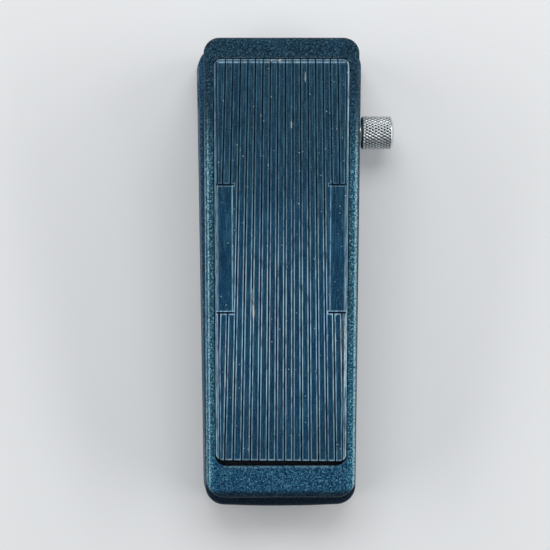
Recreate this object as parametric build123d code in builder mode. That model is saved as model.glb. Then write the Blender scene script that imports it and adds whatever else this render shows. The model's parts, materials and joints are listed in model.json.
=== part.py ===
"""Rack-and-pinion volume pedal: a rocking treadle on a cast base.

+X is the player's right, where the minimum-volume knob is, +Y is the toe end and +Z is up.
The origin is on the floor, in the middle of the pedal's footprint, knob included.
The pedal is modelled heel down, which is where it rests.
"""
import os
from math import cos, pi, radians, sin, tan

from build123d import *

os.makedirs("parts", exist_ok=True)

# ---------------------------------------------------------------- driving dimensions (mm, degrees)
centre_x = -8.4             # centre plane of the castings
base_length = 254.0
base_width_toe = 92.2
base_width_heel = 85.0
base_corner = 12.0
base_bow = 1.4              # how far each end bows out
draft = 4.0                 # lean of the base's walls
foot_height = 5.0
plate_thick = 1.5
wall = 3.0
deck_z = 32.0
saddle_top = 39.5

pivot_y = 3.5
pivot_z = 52.0
rest_tilt = 9.0             # toe-up angle at the heel-down stop; the toe-down stop is as far below level

treadle_length = 245.0
treadle_width = 80.2
treadle_toe_corner = 8.0
treadle_heel_corner = 10.0
treadle_top = 11.5          # heights on the treadle are measured from the pivot axis
treadle_plate_top = 9.5
treadle_plate_under = 6.5
skirt_end = 2.0             # height of the skirt's edge at the two ends
skirt_middle = -16.0        # and at the pivot

pad_width = 69.8
pad_toe = 112.0             # distances along the treadle from the pivot axis
pad_heel = -101.3
pad_thick = 3.0
pad_corner = 3.6
pad_gap = 0.5               # gap between pad and recess on three sides
recess_heel_corner = 6.4
pad_heel_gap = 3.2          # and at the heel end

rack_arm = 48.0             # from the pivot axis to the rack's pin
rack_length = 37.0
rack_half_x = 3.0
gear_module = 1.0
pinion_teeth = 12
pinion_z = 26.0

shaft_r = 3.175
running_gap = 0.05          # radial clearance of a turning fit

knob_y = 79.0
control_z = 19.0
knob_d = 18.4
knob_start = 45.1           # distances out from the centre plane
knob_end = 63.1
jack_y = 100.0
plug_bore_r = 3.25

# ---------------------------------------------------------------- values worked out from them
plate_z = foot_height
casting_z = plate_z + plate_thick
ceiling_z = deck_z - wall
saddle_ceiling = saddle_top - wall
treadle_half = treadle_length / 2
pinion_pitch_r = gear_module * pinion_teeth / 2
rack_pitch_offset = 3.0     # from the pin's axis to the rack's pitch line
mesh_backlash = 0.12
rack_pin_y = pivot_y + rack_arm * cos(radians(rest_tilt))
rack_pin_z = pivot_z + rack_arm * sin(radians(rest_tilt))
pinion_y = pivot_y + rack_arm + rack_pitch_offset + pinion_pitch_r + mesh_backlash


def level(z):
    """Horizontal plane at height z, centred on the castings' centre plane."""
    return Plane(origin=(centre_x, 0, z), x_dir=(1, 0, 0), z_dir=(0, 0, 1))


def along_x(x, y=0.0, z=0.0):
    """Plane facing +X, x out from the centre plane; its own axes are +Y and +Z."""
    return Plane(origin=(centre_x + x, y, z), x_dir=(0, 1, 0), z_dir=(1, 0, 0))


def tilted(height=0.0, tilt=rest_tilt):
    """Plane parallel to the treadle's top, at a height above the pivot axis; its own y runs to the toe."""
    lean = radians(tilt)
    normal = Vector(0, -sin(lean), cos(lean))
    origin = Vector(centre_x, pivot_y, pivot_z) + normal * height
    return Plane(origin=origin, x_dir=(1, 0, 0), z_dir=normal)


def treadle_side(x):
    """Plane facing +X in the treadle's frame: its own axes run to the toe and up from the treadle."""
    lean = radians(rest_tilt)
    return Plane(origin=(centre_x + x, pivot_y, pivot_z), x_dir=(0, cos(lean), sin(lean)), z_dir=(1, 0, 0))


def save(piece, name):
    """Label a finished piece and write its STEP file."""
    piece.part.label = name
    export_step(piece.part, "parts/" + name + ".step")


def base_half_width(y, z):
    """Half the base's outside width at a place along it and at a height."""
    share = (y + base_length / 2) / base_length
    at_foot = (base_width_heel + (base_width_toe - base_width_heel) * share) / 2
    return at_foot - (z - casting_z) * tan(radians(draft))


def base_outline(z, inset):
    """Plan outline of the base's foot, drawn in by inset: bowed ends, straight sides, round corners."""
    half = base_length / 2 - inset
    toe = base_width_toe / 2 - inset
    heel = base_width_heel / 2 - inset
    with BuildSketch(level(z)) as outline:
        with BuildLine():
            ThreePointArc((toe, half - base_bow), (0, half), (-toe, half - base_bow))
            Line((-toe, half - base_bow), (-heel, base_bow - half))
            ThreePointArc((-heel, base_bow - half), (0, -half), (heel, base_bow - half))
            Line((heel, base_bow - half), (toe, half - base_bow))
        make_face()
        fillet(outline.vertices(), base_corner - inset)
    return outline.sketch


def treadle_outline(height, inset):
    """Plan outline of the treadle, drawn in by inset, on the treadle's own plane."""
    half_x = treadle_width / 2 - inset
    half_y = treadle_half - inset
    with BuildSketch(tilted(height)) as outline:
        Rectangle(2 * half_x, 2 * half_y)
        fillet(outline.vertices().group_by(Axis.Y)[-1], treadle_toe_corner - inset)
        fillet(outline.vertices().group_by(Axis.Y)[0], treadle_heel_corner - inset)
    return outline.sketch


# ---------------------------------------------------------------- base housing
saddle_toe = 75.0
saddle_heel = -22.0
saddle_width = 58.0
saddle_lean = 10.0
pivot_block_half = 14.0
pivot_boss_r = 6.0
bush_r = 4.75
tension_r = 4.0
tension_boss_z = 30.0
rack_slot = (11.0, 12.0)
screw_r = 1.5
foot_spots = [(sx * half, y) for y, half in ((115.0, 34.0), (-115.0, 31.0)) for sx in (-1, 1)]
plate_screw_spots = [(sx * half, y) for y, half in ((34.0, 36.5), (-58.0, 35.0)) for sx in (-1, 1)]
bumper_arm = 108.0          # from the pivot axis to each bumper
bumper_post_z = 35.5
bumper_r = 7.0
bumper_spots = [(0, pivot_y + sy * bumper_arm * cos(radians(rest_tilt))) for sy in (1, -1)]

jack_floor = 41.4           # counterbore floor, out from the centre plane
jack_pocket_r = 8.2
jack_boss_r = 10.6
jack_bush_r = 4.7
jack_inner = 38.4           # inner face of the boss round each jack
control_floor = 43.9        # flat seat round the knob
control_seat_r = 10.4
control_bush_r = 3.5
control_inner = 40.9

bracket_x = 14.0
bracket_thick = 1.5
bracket_screw_spots = [(8.6, pinion_y - 6.0), (8.6, pinion_y + 6.0)]
guide_screw_spot = (0, 38.5)

with BuildPart() as base_housing:
    extrude(base_outline(casting_z, 0), amount=deck_z - casting_z, taper=draft)
    fillet(base_housing.faces().sort_by(Axis.Z)[-1].edges(), 2.2)
    extrude(base_outline(casting_z, wall), amount=ceiling_z - casting_z, taper=draft, mode=Mode.SUBTRACT)

    # the raised saddle that carries the pivot and covers the gear
    with BuildSketch(level(deck_z - wall / 2)):
        with Locations((0, (saddle_toe + saddle_heel) / 2)):
            RectangleRounded(saddle_width, saddle_toe - saddle_heel, 9)
    extrude(amount=saddle_top - deck_z + wall / 2, taper=saddle_lean)
    fillet(base_housing.faces().sort_by(Axis.Z)[-1].edges(), 2.5)
    with BuildSketch(level(ceiling_z - 1)):
        with Locations((0, (saddle_toe + saddle_heel) / 2)):
            RectangleRounded(saddle_width - 2 * wall, saddle_toe - saddle_heel - 2 * wall, 6)
    extrude(amount=saddle_ceiling - ceiling_z + 1, taper=saddle_lean, mode=Mode.SUBTRACT)

    # pivot block, with a boss under it for the tension screw
    with BuildSketch(along_x(-pivot_block_half)):
        with BuildLine():
            Line((pivot_y - 8.5, saddle_ceiling), (pivot_y + 8.5, saddle_ceiling))
            Line((pivot_y + 8.5, saddle_ceiling), (pivot_y + pivot_boss_r, pivot_z))
            ThreePointArc(
                (pivot_y + pivot_boss_r, pivot_z),
                (pivot_y, pivot_z + pivot_boss_r),
                (pivot_y - pivot_boss_r, pivot_z),
            )
            Line((pivot_y - pivot_boss_r, pivot_z), (pivot_y - 8.5, saddle_ceiling))
        make_face()
    extrude(amount=2 * pivot_block_half)
    with BuildSketch(level(tension_boss_z)):
        with Locations((0, pivot_y)):
            Circle(8)
    extrude(amount=saddle_ceiling - tension_boss_z)
    with BuildSketch(along_x(-pivot_block_half)):
        with Locations((pivot_y, pivot_z)):
            Circle(bush_r)
    extrude(amount=2 * pivot_block_half, mode=Mode.SUBTRACT)
    with BuildSketch(level(tension_boss_z)):
        with Locations((0, pivot_y)):
            Circle(tension_r)
    extrude(amount=pivot_z - tension_boss_z, mode=Mode.SUBTRACT)

    # slot that the rack comes down through
    with BuildSketch(level(saddle_ceiling - 1)):
        with Locations((0, rack_pin_y + 0.6)):
            RectangleRounded(*rack_slot, 2)
    extrude(amount=wall + 2, mode=Mode.SUBTRACT)

    # posts for the bumpers, bosses for the feet and for the base plate
    with BuildSketch(level(ceiling_z)):
        with Locations(bumper_spots):
            Circle(bumper_r + 1.5)
    extrude(amount=bumper_post_z - ceiling_z, taper=5)
    with BuildSketch(level(casting_z)):
        with Locations(foot_spots + plate_screw_spots):
            Circle(4.5)
    extrude(amount=ceiling_z - casting_z + 0.5)
    with BuildSketch(level(casting_z)):
        with Locations(foot_spots + plate_screw_spots):
            Circle(screw_r)
    extrude(amount=12, mode=Mode.SUBTRACT)

    # jack pockets: a round counterbore outside and a boss inside, one on each side
    for side in (1, -1):
        with BuildSketch(along_x(side * jack_inner)):
            with Locations((jack_y, control_z)):
                Circle(jack_boss_r)
        extrude(amount=side * (base_half_width(jack_y, control_z) - 1 - jack_inner))
        with BuildSketch(along_x(side * jack_floor)):
            with Locations((jack_y, control_z)):
                Circle(jack_pocket_r)
        extrude(amount=side * 8, mode=Mode.SUBTRACT)
        with BuildSketch(along_x(side * (jack_inner - 1))):
            with Locations((jack_y, control_z)):
                Circle(jack_bush_r)
        extrude(amount=side * 8, mode=Mode.SUBTRACT)

    # flat seat for the minimum-volume control on the right
    with BuildSketch(along_x(control_inner)):
        with Locations((knob_y, control_z)):
            Circle(9.6)
    extrude(amount=base_half_width(knob_y, control_z) - 1 - control_inner)
    with BuildSketch(along_x(control_floor)):
        with Locations((knob_y, control_z)):
            Circle(control_seat_r)
    extrude(amount=6, mode=Mode.SUBTRACT)
    with BuildSketch(along_x(control_inner - 1)):
        with Locations((knob_y, control_z)):
            Circle(control_bush_r)
    extrude(amount=8, mode=Mode.SUBTRACT)

    # tapped holes in the saddle's ceiling for the gear bracket and the rack guide
    with BuildSketch(level(saddle_ceiling - 0.5)):
        with Locations(bracket_screw_spots + [guide_screw_spot]):
            Circle(screw_r)
    extrude(amount=wall, mode=Mode.SUBTRACT)
save(base_housing, "base_housing")

# ---------------------------------------------------------------- base plate, feet and screws
plate_inset = 0.8
foot_r = 8.5
foot_recess_r = 4.2
foot_recess = 2.4

with BuildPart() as base_plate:
    extrude(base_outline(plate_z, plate_inset), amount=plate_thick)
    with BuildSketch(level(plate_z)):
        with Locations(foot_spots + plate_screw_spots):
            Circle(screw_r + 0.2)
    extrude(amount=plate_thick, mode=Mode.SUBTRACT)
save(base_plate, "base_plate")

with BuildPart() as rubber_feet:
    with BuildSketch(level(plate_z)):
        with Locations(foot_spots):
            Circle(foot_r)
    extrude(amount=-foot_height, taper=7)
    fillet(rubber_feet.faces().group_by(Axis.Z)[0].edges(), 0.6)
    with BuildSketch(level(0)):
        with Locations(foot_spots):
            Circle(foot_recess_r)
    extrude(amount=foot_recess, mode=Mode.SUBTRACT)
    with BuildSketch(level(0)):
        with Locations(foot_spots):
            Circle(screw_r + 0.2)
    extrude(amount=foot_height, mode=Mode.SUBTRACT)
save(rubber_feet, "rubber_feet")


def pan_screws(spots, seat_z, head_r, head_h, length, slot=0.8):
    """Slotted screws driven upwards, heads under seat_z."""
    with BuildSketch(level(seat_z)) as heads:
        with Locations(spots):
            Circle(head_r)
    extrude(heads.sketch, amount=-head_h, taper=8)
    with BuildSketch(level(seat_z)) as shanks:
        with Locations(spots):
            Circle(screw_r)
    extrude(shanks.sketch, amount=length)
    with BuildSketch(level(seat_z - head_h)) as slots:
        with Locations(spots):
            Rectangle(2 * head_r, slot)
    extrude(slots.sketch, amount=head_h / 2, mode=Mode.SUBTRACT)


with BuildPart() as foot_screws:
    pan_screws(foot_spots, foot_recess, 3.4, 1.8, foot_height - foot_recess + plate_thick + 9)
save(foot_screws, "foot_screws")

with BuildPart() as plate_screws:
    pan_screws(plate_screw_spots, plate_z, 3.2, 1.7, plate_thick + 8)
save(plate_screws, "plate_screws")

with BuildPart() as stop_bumpers:
    with BuildSketch(level(bumper_post_z)):
        with Locations(bumper_spots):
            Circle(bumper_r)
    extrude(amount=9)
    for toward_toe, tilt in ((1, -rest_tilt), (-1, rest_tilt)):
        with BuildSketch(tilted(treadle_plate_under - 0.15, tilt)):
            with Locations((0, toward_toe * bumper_arm)):
                Rectangle(24, 24)
        extrude(amount=9, mode=Mode.SUBTRACT)
    fillet(stop_bumpers.edges().filter_by(GeomType.ELLIPSE), 1.0)
save(stop_bumpers, "stop_bumpers")

# ---------------------------------------------------------------- pivot: shaft, bushes and friction
lug_start = pivot_block_half + 1.0
lug_width = 7.0
shaft_half = lug_start + lug_width + 1.5
bush_length = 9.0
bush_flange = 0.7

with BuildPart() as pivot_shaft:
    with BuildSketch(along_x(-shaft_half)):
        with Locations((pivot_y, pivot_z)):
            Circle(shaft_r)
    extrude(amount=2 * shaft_half)
    chamfer(pivot_shaft.edges().filter_by(GeomType.CIRCLE), 0.5)
save(pivot_shaft, "pivot_shaft")

with BuildPart() as pivot_bushes:
    for side in (1, -1):
        with BuildSketch(along_x(side * (pivot_block_half - bush_length))):
            with Locations((pivot_y, pivot_z)):
                Circle(bush_r)
                Circle(shaft_r + running_gap, mode=Mode.SUBTRACT)
        extrude(amount=side * bush_length)
        with BuildSketch(along_x(side * pivot_block_half)):
            with Locations((pivot_y, pivot_z)):
                Circle(pivot_boss_r - 0.1)
                Circle(shaft_r + running_gap, mode=Mode.SUBTRACT)
        extrude(amount=side * bush_flange)
save(pivot_bushes, "pivot_bushes")

tension_seat_z = 41.0
with BuildPart() as tension_pad:
    with BuildSketch(level(tension_seat_z)):
        with Locations((0, pivot_y)):
            Circle(tension_r - 0.1)
    extrude(amount=pivot_z - tension_seat_z - 1)
    with BuildSketch(along_x(-tension_r)):
        with Locations((pivot_y, pivot_z)):
            Circle(shaft_r + running_gap)
    extrude(amount=2 * tension_r, mode=Mode.SUBTRACT)
save(tension_pad, "tension_pad")

tension_nut_h = 4.0
with BuildPart() as tension_screw:
    with BuildSketch(level(tension_boss_z - tension_nut_h - 2)):
        with Locations((0, pivot_y)):
            Circle(tension_r)
    extrude(amount=tension_seat_z - tension_boss_z + tension_nut_h + 2)
    with BuildSketch(level(tension_boss_z - tension_nut_h - 2)):
        with Locations((0, pivot_y)):
            RegularPolygon(2.3, 6)
    extrude(amount=5, mode=Mode.SUBTRACT)
save(tension_screw, "tension_screw")

with BuildPart() as tension_lock_nut:
    with BuildSketch(level(tension_boss_z - tension_nut_h)):
        with Locations((0, pivot_y)):
            RegularPolygon(6.5, 6, major_radius=False)
            Circle(tension_r, mode=Mode.SUBTRACT)
    extrude(amount=tension_nut_h)
save(tension_lock_nut, "tension_lock_nut")

# ---------------------------------------------------------------- treadle
ear_start = rack_half_x + 0.4
ear_thick = 3.6
ear_r = 3.6
rack_pin_r = 1.5
skirt_flat = 8.0            # half length of the skirt's level stretch under the pivot
set_screw_r = 2.0
set_screw_length = 6.0
rib_stations = (-96.0, -64.0, -32.0, 66.0, 96.0)

with BuildPart() as treadle:
    extrude(treadle_outline(skirt_middle, 0), amount=treadle_top - skirt_middle)
    with BuildSketch(treadle_side(-treadle_width)):
        with BuildLine():
            Polyline(
                (-treadle_half - 1, skirt_end),
                (-skirt_flat, skirt_middle),
                (skirt_flat, skirt_middle),
                (treadle_half + 1, skirt_end),
                (treadle_half + 1, treadle_top),
                (-treadle_half - 1, treadle_top),
                close=True,
            )
        make_face()
    extrude(amount=2 * treadle_width, mode=Mode.INTERSECT)
    top_face = treadle.faces().filter_by(lambda face: face.normal_at().Z > 0.9).sort_by(Axis.Z)[-1]
    fillet(top_face.edges(), 2.4)
    hollow = treadle_outline(skirt_middle - 1, wall)
    extrude(hollow, amount=treadle_plate_under - skirt_middle + 1, mode=Mode.SUBTRACT)

    # recess for the tread pad
    with BuildSketch(tilted(treadle_plate_top)) as recess:
        with Locations((0, (pad_toe + pad_gap + pad_heel - pad_heel_gap) / 2)):
            Rectangle(pad_width + 2 * pad_gap, pad_toe + pad_gap - pad_heel + pad_heel_gap)
        fillet(recess.vertices().group_by(Axis.Y)[-1], pad_corner + pad_gap)
        fillet(recess.vertices().group_by(Axis.Y)[0], recess_heel_corner)
    extrude(amount=treadle_top, mode=Mode.SUBTRACT)

    # ribs across the underside, from skirt to skirt
    for station in rib_stations:
        with BuildSketch(tilted(treadle_plate_under - 3)):
            with Locations((0, station)):
                Rectangle(treadle_width - 2 * wall + 1, 2.4)
        extrude(amount=3.5)

    # two lugs that hold the pivot shaft
    for side in (1, -1):
        with BuildSketch(treadle_side(side * lug_start)):
            with BuildLine():
                Line((-9, treadle_plate_under + 1), (9, treadle_plate_under + 1))
                Line((9, treadle_plate_under + 1), (6.2, 0))
                ThreePointArc((6.2, 0), (0, -6.2), (-6.2, 0))
                Line((-6.2, 0), (-9, treadle_plate_under + 1))
            make_face()
            Circle(shaft_r, mode=Mode.SUBTRACT)
        extrude(amount=side * lug_width)

    # clevis ears that hang the rack
    for side in (1, -1):
        with BuildSketch(treadle_side(side * ear_start)):
            with Locations((rack_arm, 0)):
                Circle(ear_r)
            with Locations((rack_arm, treadle_plate_under / 2 + 0.5)):
                Rectangle(2 * ear_r, treadle_plate_under + 1)
            with Locations((rack_arm, 0)):
                Circle(rack_pin_r, mode=Mode.SUBTRACT)
        extrude(amount=side * ear_thick)

    # tapped holes for the two set screws, from the heel side
    lean = radians(rest_tilt)
    for side in (1, -1):
        lug_middle = side * (lug_start + lug_width / 2)
        hole_plane = Plane(
            origin=(centre_x + lug_middle, pivot_y, pivot_z),
            x_dir=(1, 0, 0),
            z_dir=(0, -cos(lean), -sin(lean)),
        )
        with BuildSketch(hole_plane):
            Circle(set_screw_r)
        extrude(amount=12, mode=Mode.SUBTRACT)
save(treadle, "treadle")

with BuildPart() as shaft_set_screws:
    for side in (1, -1):
        screw_plane = Plane(
            origin=(centre_x + side * (lug_start + lug_width / 2), pivot_y, pivot_z),
            x_dir=(1, 0, 0),
            z_dir=(0, -cos(lean), -sin(lean)),
        )
        with BuildSketch(screw_plane.offset(shaft_r)):
            Circle(set_screw_r)
        extrude(amount=set_screw_length)
        with BuildSketch(screw_plane.offset(shaft_r + set_screw_length - 2)):
            RegularPolygon(1.15, 6)
        extrude(amount=2, mode=Mode.SUBTRACT)
save(shaft_set_screws, "shaft_set_screws")

groove_width = 1.0
groove_depth = 1.1
groove_toe_pitch = 3.84     # the grooves fan out towards the heel
groove_heel_pitch = 4.57
groove_toe_middle = 5.8     # where the one straight groove lies, right of the centre line
groove_heel_middle = 6.35
groove_numbers = range(-9, 7)
border_groove = 33.1        # a groove along each side of the pad
panel_ends = (47.2, -20.5)  # a smooth panel in each side of the pad, closed by a cross groove at each end
panel_inner = 25.6
panel_outer = 33.6


def groove_x(number, y):
    """Where a fanned groove crosses a station along the pad."""
    share = (pad_toe - y) / (pad_toe - pad_heel)
    middle = groove_toe_middle + (groove_heel_middle - groove_toe_middle) * share
    return middle + number * (groove_toe_pitch + (groove_heel_pitch - groove_toe_pitch) * share)


def groove_heel_end(number):
    """How far towards the heel a fanned groove runs: off the pad, or to where it meets a border groove."""
    toe_x = groove_x(number, pad_toe)
    heel_x = groove_x(number, pad_heel)
    if abs(heel_x) < border_groove:
        return pad_heel - 1
    share = (border_groove - abs(toe_x)) / (abs(heel_x) - abs(toe_x))
    return pad_toe - share * (pad_toe - pad_heel)


def groove_strip(x_heel, x_toe, y_heel=pad_heel - 1):
    """Outline of one groove from its heel end to beyond the toe end of the pad."""
    half = groove_width / 2
    y_toe = pad_toe + 1
    with BuildSketch(tilted(treadle_plate_top + pad_thick - groove_depth)) as strip:
        with BuildLine():
            Polyline(
                (x_heel - half, y_heel),
                (x_heel + half, y_heel),
                (x_toe + half, y_toe),
                (x_toe - half, y_toe),
                close=True,
            )
        make_face()
    return strip.sketch


with BuildPart() as tread_pad:
    with BuildSketch(tilted(treadle_plate_top)):
        with Locations((0, (pad_toe + pad_heel) / 2)):
            RectangleRounded(pad_width, pad_toe - pad_heel, pad_corner)
    extrude(amount=pad_thick)
    for number in groove_numbers:
        heel_end = groove_heel_end(number)
        strip = groove_strip(groove_x(number, heel_end), groove_x(number, pad_toe + 1), heel_end)
        extrude(strip, amount=groove_depth + 1, mode=Mode.SUBTRACT)
    for side in (1, -1):
        strip = groove_strip(side * border_groove, side * border_groove)
        extrude(strip, amount=groove_depth + 1, mode=Mode.SUBTRACT)
    # the panels fill the grooves again, up to the pad's top
    with BuildSketch(tilted(treadle_plate_top + pad_thick - groove_depth)):
        for side in (1, -1):
            with Locations((side * (panel_inner + panel_outer) / 2, sum(panel_ends) / 2)):
                Rectangle(panel_outer - panel_inner, panel_ends[0] - panel_ends[1])
    extrude(amount=groove_depth)
    with BuildSketch(tilted(treadle_plate_top + pad_thick - groove_depth)):
        for side in (1, -1):
            for end in panel_ends:
                with Locations((side * (panel_inner + panel_outer) / 2, end)):
                    Rectangle(panel_outer - panel_inner, groove_width)
    extrude(amount=groove_depth + 1, mode=Mode.SUBTRACT)
save(tread_pad, "tread_pad")

# ---------------------------------------------------------------- rack and its pin
rack_teeth = 8
tooth_half_angle = radians(20)
tooth_pitch = pi * gear_module
rack_tip = rack_pitch_offset + gear_module
rack_root = rack_pitch_offset - 1.25 * gear_module
rack_back = -3.0


def rack_side(x):
    """Plane facing +X with its origin on the rack's pin; its own axes are +Y and +Z."""
    return along_x(x, rack_pin_y, rack_pin_z)


def rack_space(z):
    """One tooth space of the rack, cut in from its +Y face."""
    flank = gear_module * tan(tooth_half_angle)
    at_tip = tooth_pitch / 4 + flank + 0.1
    at_root = tooth_pitch / 4 - 1.25 * flank + 0.1
    with BuildLine() as space:
        Polyline(
            (rack_tip + 0.5, z - at_tip - 0.15),
            (rack_tip + 0.5, z + at_tip + 0.15),
            (rack_tip, z + at_tip),
            (rack_root, z + at_root),
            (rack_root, z - at_root),
            (rack_tip, z - at_tip),
            close=True,
        )
    make_face(space.edges())


mesh_z = pinion_z - rack_pin_z          # where the pinion's centre line meets the rack at rest
with BuildPart() as rack:
    with BuildSketch(rack_side(-rack_half_x)):
        Circle(3.5)
        with Locations(((rack_back + rack_tip) / 2, -(rack_length + 5) / 2)):
            Rectangle(rack_tip - rack_back, rack_length - 5)
        with Locations((0.2, -4)):
            Rectangle(5.6, 5)
        Circle(rack_pin_r + running_gap, mode=Mode.SUBTRACT)
    extrude(amount=2 * rack_half_x)
    with BuildSketch(rack_side(-rack_half_x - 1)):
        for number in range(-1, rack_teeth - 1):
            rack_space(mesh_z + number * tooth_pitch)
    extrude(amount=2 * rack_half_x + 2, mode=Mode.SUBTRACT)
save(rack, "rack")

pin_half = ear_start + ear_thick + 1.6
clip_groove = 0.4
with BuildPart() as rack_pin:
    with BuildSketch(rack_side(-pin_half)):
        Circle(rack_pin_r)
    extrude(amount=2 * pin_half)
    for side in (1, -1):
        with BuildSketch(rack_side(side * (ear_start + ear_thick + 0.1))):
            Circle(rack_pin_r)
            Circle(rack_pin_r - clip_groove, mode=Mode.SUBTRACT)
        extrude(amount=side * 0.7, mode=Mode.SUBTRACT)
save(rack_pin, "rack_pin")

with BuildPart() as rack_pin_clips:
    for side in (1, -1):
        with BuildSketch(rack_side(side * (ear_start + ear_thick + 0.15))):
            Circle(3.2)
            Circle(rack_pin_r - clip_groove, mode=Mode.SUBTRACT)
            with Locations((-2.2, 0)):
                Rectangle(3.2, 1.8, mode=Mode.SUBTRACT)
        extrude(amount=side * 0.6)
save(rack_pin_clips, "rack_pin_clips")

# ---------------------------------------------------------------- pinion and main volume pot
pot_shaft_r = 3.0
hub_r = 5.0
pinion_half = 3.6
hub_end = 9.0
pot_can_r = 8.25
pot_can_depth = 9.0
pot_bush_r = 3.5


def pinion_side(x):
    """Plane facing +X with its origin on the pinion's axis."""
    return along_x(x, pinion_y, pinion_z)


def pinion_tooth(angle):
    """One tooth with straight flanks, drawn from the root circle outwards."""
    half_tip = 0.42 * gear_module
    half_root = 1.05 * gear_module
    root_r = pinion_pitch_r - 1.3 * gear_module
    tip_r = pinion_pitch_r + gear_module
    along = Vector(cos(radians(angle)), sin(radians(angle)))
    across = Vector(-along.Y, along.X)
    corners = (
        along * root_r + across * half_root,
        along * tip_r + across * half_tip,
        along * tip_r - across * half_tip,
        along * root_r - across * half_root,
    )
    with BuildLine() as tooth:
        Polyline(*corners, close=True)
    make_face(tooth.edges())


with BuildPart() as pinion:
    with BuildSketch(pinion_side(-pinion_half)):
        Circle(pinion_pitch_r - 1.25 * gear_module)
        for number in range(pinion_teeth):
            pinion_tooth(180 + number * 360 / pinion_teeth)
        Circle(pot_shaft_r, mode=Mode.SUBTRACT)
    extrude(amount=2 * pinion_half)
    with BuildSketch(pinion_side(pinion_half)):
        Circle(hub_r)
        Circle(pot_shaft_r, mode=Mode.SUBTRACT)
    extrude(amount=hub_end - pinion_half)
    hub_hole = Plane(
        origin=(centre_x + (pinion_half + hub_end) / 2, pinion_y, pinion_z),
        x_dir=(1, 0, 0),
        z_dir=(0, 0, -1),
    )
    with BuildSketch(hub_hole):
        Circle(1.2)
    extrude(amount=hub_r + 1, mode=Mode.SUBTRACT)
save(pinion, "pinion")

with BuildPart() as pinion_set_screw:
    with BuildSketch(hub_hole.offset(pot_shaft_r)):
        Circle(1.2)
    extrude(amount=hub_r - pot_shaft_r - 0.1)
    with BuildSketch(hub_hole.offset(hub_r - 0.9)):
        Rectangle(2.4, 0.5)
    extrude(amount=1, mode=Mode.SUBTRACT)
save(pinion_set_screw, "pinion_set_screw")

with BuildPart() as volume_pot_shaft:
    with BuildSketch(pinion_side(-pinion_half - 1)):
        Circle(pot_shaft_r)
    extrude(amount=bracket_x + bracket_thick + 2 + pinion_half + 1)
save(volume_pot_shaft, "volume_pot_shaft")


def pot_body(plane, bush_out, depth):
    """Body of a potentiometer whose seat is on plane and whose bush stands out along its normal."""
    with BuildSketch(plane) as can:
        Circle(pot_can_r)
    extrude(can.sketch, amount=-depth)
    with BuildSketch(plane.offset(-0.4)) as wafer:
        with Locations((-pot_can_r - 2, 0)):
            Rectangle(9, 13)
    extrude(wafer.sketch, amount=-1.6)
    with BuildSketch(plane) as bush:
        Circle(pot_bush_r)
    extrude(bush.sketch, amount=bush_out)
    with BuildSketch(plane.offset(bush_out)) as bore:
        Circle(pot_shaft_r + running_gap)
    extrude(bore.sketch, amount=-bush_out - 3, mode=Mode.SUBTRACT)


def pot_tags(plane):
    """Three solder tags along the edge of a potentiometer's wafer."""
    with BuildSketch(plane.offset(-2.0)) as tags:
        with Locations([(-pot_can_r - 5.6, across) for across in (-5, 0, 5)]):
            Rectangle(6, 1.8)
            Circle(0.5, mode=Mode.SUBTRACT)
    extrude(tags.sketch, amount=-0.5)


# the main pot sits with its wafer pointing down; its seat faces the pinion
volume_seat = Plane(
    origin=(centre_x + bracket_x + bracket_thick, pinion_y, pinion_z),
    x_dir=(0, 0, 1),
    z_dir=(-1, 0, 0),
)
with BuildPart() as volume_pot:
    pot_body(volume_seat, bracket_thick + 3.9, pot_can_depth)
save(volume_pot, "volume_pot")

with BuildPart() as volume_pot_tags:
    pot_tags(volume_seat)
save(volume_pot_tags, "volume_pot_tags")


def hex_nut(plane, height, across_flats, hole_r):
    """Hexagon nut standing on plane."""
    with BuildSketch(plane) as hexagon:
        RegularPolygon(across_flats / 2, 6, major_radius=False)
        Circle(hole_r, mode=Mode.SUBTRACT)
    extrude(hexagon.sketch, amount=height)


def plain_washer(plane, height, outer_r, hole_r):
    """Flat washer standing on plane."""
    with BuildSketch(plane) as ring:
        Circle(outer_r)
        Circle(hole_r, mode=Mode.SUBTRACT)
    extrude(ring.sketch, amount=height)


with BuildPart() as volume_pot_washer:
    plain_washer(volume_seat.offset(bracket_thick), 0.5, 5.6, pot_bush_r + 0.1)
save(volume_pot_washer, "volume_pot_washer")

with BuildPart() as volume_pot_nut:
    hex_nut(volume_seat.offset(bracket_thick + 0.5), 2.0, 10, pot_bush_r)
save(volume_pot_nut, "volume_pot_nut")

flange_start = 3.2
bracket_width = 19.0
with BuildPart() as pot_bracket:
    with BuildSketch(along_x(bracket_x)):
        with Locations((pinion_y, saddle_ceiling - 12)):
            Rectangle(bracket_width, 24)
        with Locations((pinion_y, pinion_z)):
            Circle(pot_bush_r + 0.1, mode=Mode.SUBTRACT)
    extrude(amount=bracket_thick)
    with BuildSketch(level(saddle_ceiling - bracket_thick)):
        with Locations(((flange_start + bracket_x + bracket_thick) / 2, pinion_y)):
            Rectangle(bracket_x + bracket_thick - flange_start, bracket_width)
        with Locations(bracket_screw_spots):
            Circle(screw_r + 0.2, mode=Mode.SUBTRACT)
    extrude(amount=bracket_thick)
save(pot_bracket, "pot_bracket")

with BuildPart() as bracket_screws:
    pan_screws(bracket_screw_spots, saddle_ceiling - bracket_thick, 2.7, 1.4, bracket_thick + 2.3, 0.7)
save(bracket_screws, "bracket_screws")

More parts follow.
